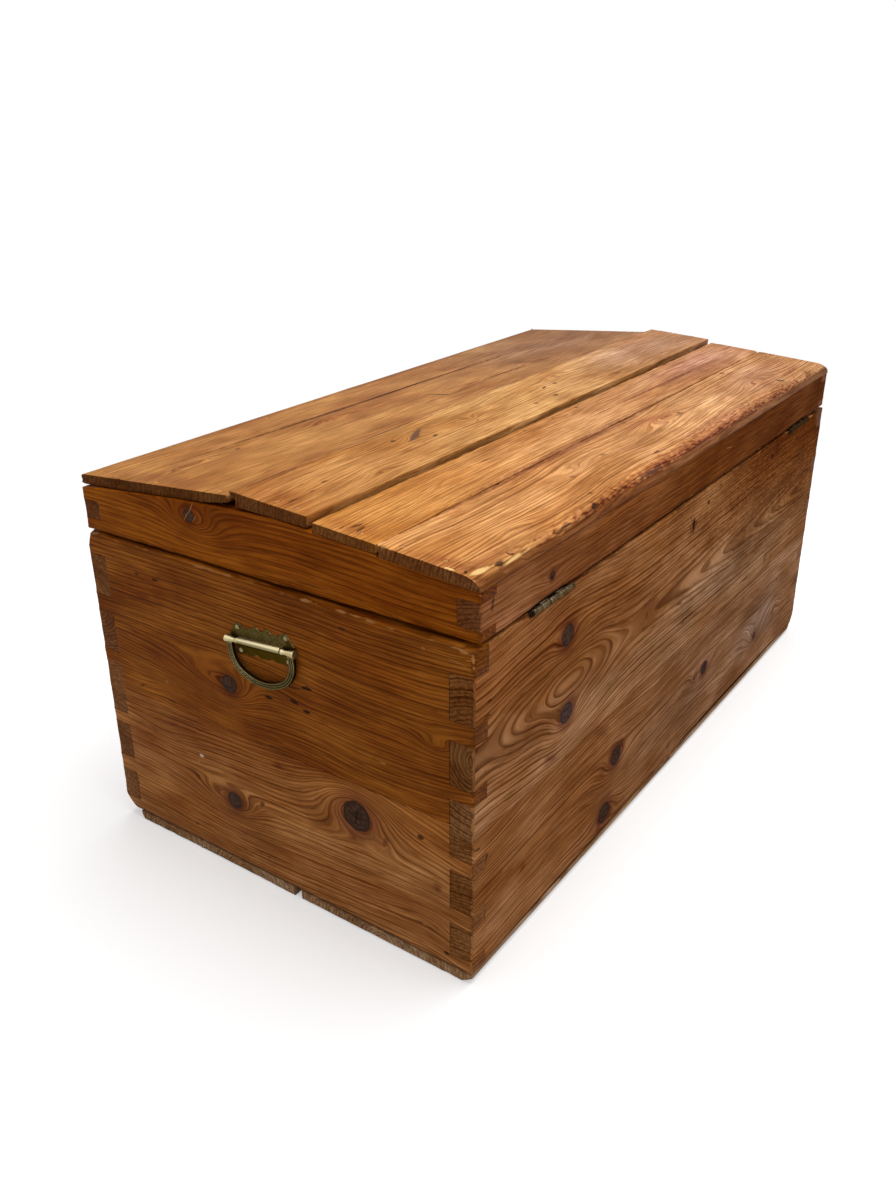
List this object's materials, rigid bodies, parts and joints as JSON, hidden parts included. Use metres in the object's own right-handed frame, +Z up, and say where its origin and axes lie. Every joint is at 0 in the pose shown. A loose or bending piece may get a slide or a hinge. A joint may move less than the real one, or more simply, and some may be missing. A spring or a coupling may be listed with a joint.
{
  "type": "blanket chest",
  "caption": "Old pine blanket chest with finger-jointed corners, a planked crowned lid on butt hinges and a brass drop handle on each end.",
  "frame": {"origin": "centre of the chest's footprint, on the underside of the bottom boards", "axes": "+X along the length towards the right end, +Y towards the hinged back, +Z up"},
  "size_m": [0.9804, 0.5202, 0.4624],
  "materials": {
    "case_pine": "old varnished pine, reddish brown, worn edges",
    "lid_rail_pine": "old varnished pine, reddish brown",
    "lid_top_pine": "waxed pine, honey coloured, scratched",
    "bottom_pine": "raw pine, grey-brown and dirty",
    "hinge_metal": "dull, hammered and tarnished",
    "handle_brass": "aged brass, dark in the hollows",
    "old_iron": "dark iron, slightly rusted"
  },
  "bodies": {
    "case": {"front_lower_board": "case_pine", "front_upper_board": "case_pine", "back_lower_board": "case_pine", "back_upper_board": "case_pine", "left_end_lower_board": "case_pine", "left_end_upper_board": "case_pine", "right_end_lower_board": "case_pine", "right_end_upper_board": "case_pine", "bottom_board_front": "bottom_pine", "bottom_board_middle": "bottom_pine", "bottom_board_back": "bottom_pine", "bottom_nails": "old_iron", "right_hinge_lower_leaf": "hinge_metal", "right_hinge_pin": "old_iron", "left_hinge_lower_leaf": "hinge_metal", "left_hinge_pin": "old_iron", "hinge_lower_screws": "old_iron", "right_handle_plate": "handle_brass", "right_handle_pin": "handle_brass", "right_handle_screws": "old_iron", "left_handle_plate": "handle_brass", "left_handle_pin": "handle_brass", "left_handle_screws": "old_iron"},
    "lid": {"lid_front_rail": "lid_rail_pine", "lid_back_rail": "lid_rail_pine", "lid_left_end_rail": "lid_rail_pine", "lid_right_end_rail": "lid_rail_pine", "lid_board_front": "lid_top_pine", "lid_board_crown": "lid_top_pine", "lid_board_inner": "lid_top_pine", "lid_board_back": "lid_top_pine", "lid_nails": "old_iron", "right_hinge_upper_leaf": "hinge_metal", "left_hinge_upper_leaf": "hinge_metal", "hinge_upper_screws": "old_iron"},
    "right_bail": {"right_handle_bail": "handle_brass"},
    "left_bail": {"left_handle_bail": "handle_brass"}
  },
  "joints": [
    {"name": "lid_hinge", "type": "hinge", "parent": "case", "child": "lid", "pos_m": [0, 0.2556, 0.3754], "axis": [-1, 0, 0], "range_deg": [0, 110]},
    {"name": "right_bail_pivot", "type": "hinge", "parent": "case", "child": "right_bail", "pos_m": [0.486, 0.0035, 0.311], "axis": [0, -0.9962, -0.0872], "range_deg": [-3, 180]},
    {"name": "left_bail_pivot", "type": "hinge", "parent": "case", "child": "left_bail", "pos_m": [-0.486, 0.0035, 0.311], "axis": [0, 1, 0], "range_deg": [-3, 180]}
  ]
}
